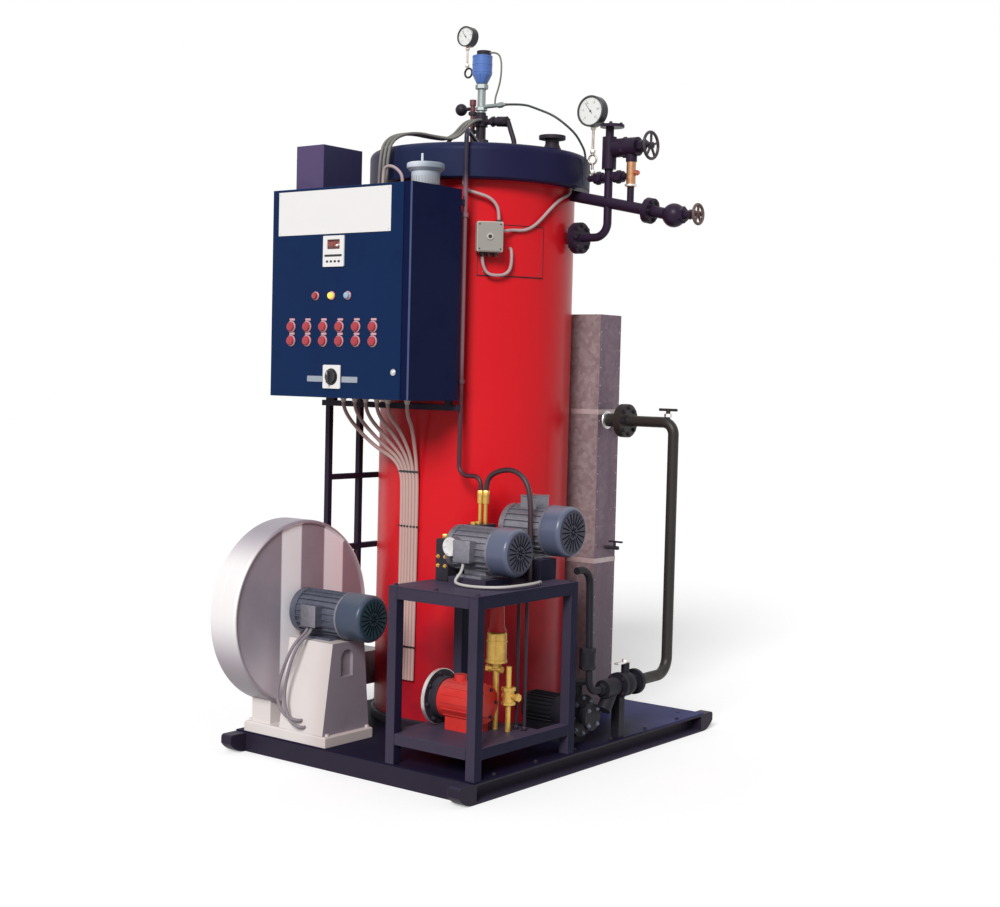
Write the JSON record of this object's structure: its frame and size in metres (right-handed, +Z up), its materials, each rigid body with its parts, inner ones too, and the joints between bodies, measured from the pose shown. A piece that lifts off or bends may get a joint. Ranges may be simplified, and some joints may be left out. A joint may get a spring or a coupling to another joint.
{
  "type": "industrial boiler",
  "caption": "Vertical packaged steam boiler on a steel skid with a control panel, blower, pump frame, economiser box and steam pipework.",
  "frame": {"origin": "middle of the skid on the floor it rests on", "axes": "+X to the right seen from the panel door, +Y to the back, +Z up; the door faces -Y"},
  "size_m": [1.574, 1.99, 3.164],
  "materials": {
    "black_paint": "semi-gloss black paint",
    "red_paint": "glossy red enamel",
    "navy_paint": "semi-gloss navy enamel",
    "dark_steel": "dark painted steel and cast iron",
    "grey_box": "grey moulded plastic",
    "white_plate": "white enamel plate",
    "button_red": "coloured plastic lenses",
    "black_plastic": "black moulded plastic",
    "conduit_white": "pale flexible conduit",
    "cable_grey": "grey cable sheath",
    "drum_steel": "spun bright steel sheet",
    "beige_paint": "pale beige paint",
    "motor_paint": "blue-grey motor enamel",
    "frame_paint": "dark semi-gloss paint",
    "hose_black": "black rubber hose",
    "red_casting": "orange-red enamel on a casting",
    "brass": "machined brass",
    "galvanised": "dull galvanised sheet",
    "wheel_brown": "worn brown paint",
    "gauge_case": "black case with a white dial",
    "blue_enamel": "blue enamel"
  },
  "bodies": {
    "root": {"air_duct": "drum_steel", "alarm_horn": "grey_box", "blower_drum": "drum_steel", "blower_inlet_ring": "drum_steel", "blower_motor": "motor_paint", "blower_pedestal": "beige_paint", "blower_plinth": "beige_paint", "boiler_head": "navy_paint", "boiler_jacket": "red_paint", "brass_fittings": "brass", "economiser_box": "galvanised", "feed_pipe": "dark_steel", "feed_valve": "dark_steel", "frame_plates": "frame_paint", "frame_posts": "frame_paint", "frame_rails": "frame_paint", "fuel_pump": "red_casting", "fuel_pump_flange": "dark_steel", "head_fittings": "dark_steel", "head_hose": "hose_black", "head_nozzle": "dark_steel", "jacket_access_door": "red_paint", "jacket_base_ring": "navy_paint", "jacket_pipe": "dark_steel", "junction_box": "grey_box", "panel_cabinet": "navy_paint", "panel_conduits": "conduit_white", "pressure_gauges": "gauge_case", "pump_hoses": "hose_black", "pump_motors": "motor_paint", "pump_parts": "dark_steel", "roof_box": "navy_paint", "safety_valve": "brass", "service_cables": "cable_grey", "skid_cross_members": "black_paint", "skid_deck": "black_paint", "skid_runners": "black_paint", "stand_legs": "black_paint", "stand_rails": "black_paint", "steam_pipework": "dark_steel", "steam_valves": "dark_steel", "transmitter": "blue_enamel", "water_pump": "dark_steel"},
    "door": {"panel_door": "navy_paint", "name_plate": "white_plate", "display_unit": "white_plate", "panel_controls": "button_red", "switch_plate": "white_plate"},
    "switch": {"switch_knob": "black_plastic"},
    "stop_wheel": {"stop_valve_wheel": "dark_steel"},
    "outlet_wheel": {"outlet_valve_wheel": "wheel_brown"}
  },
  "joints": [
    {"name": "door_hinge", "type": "hinge", "parent": "root", "child": "door", "pos_m": [-0.643, -0.6775, 1.9455], "axis": [0, 0, -1], "range_deg": [0, 120]},
    {"name": "switch_turn", "type": "hinge", "parent": "door", "child": "switch", "pos_m": [-0.269, -0.711, 1.597], "axis": [0, -1, 0], "range_deg": [0, 90]},
    {"name": "stop_valve_turn", "type": "hinge", "parent": "root", "child": "stop_wheel", "pos_m": [0.673, 0.22, 2.603], "axis": [1, 0, 0], "range_deg": [0, 1035]},
    {"name": "outlet_valve_turn", "type": "hinge", "parent": "root", "child": "outlet_wheel", "pos_m": [0.912, 0.22, 2.30447], "axis": [1, 0, 0], "range_deg": [0, 1035]}
  ]
}
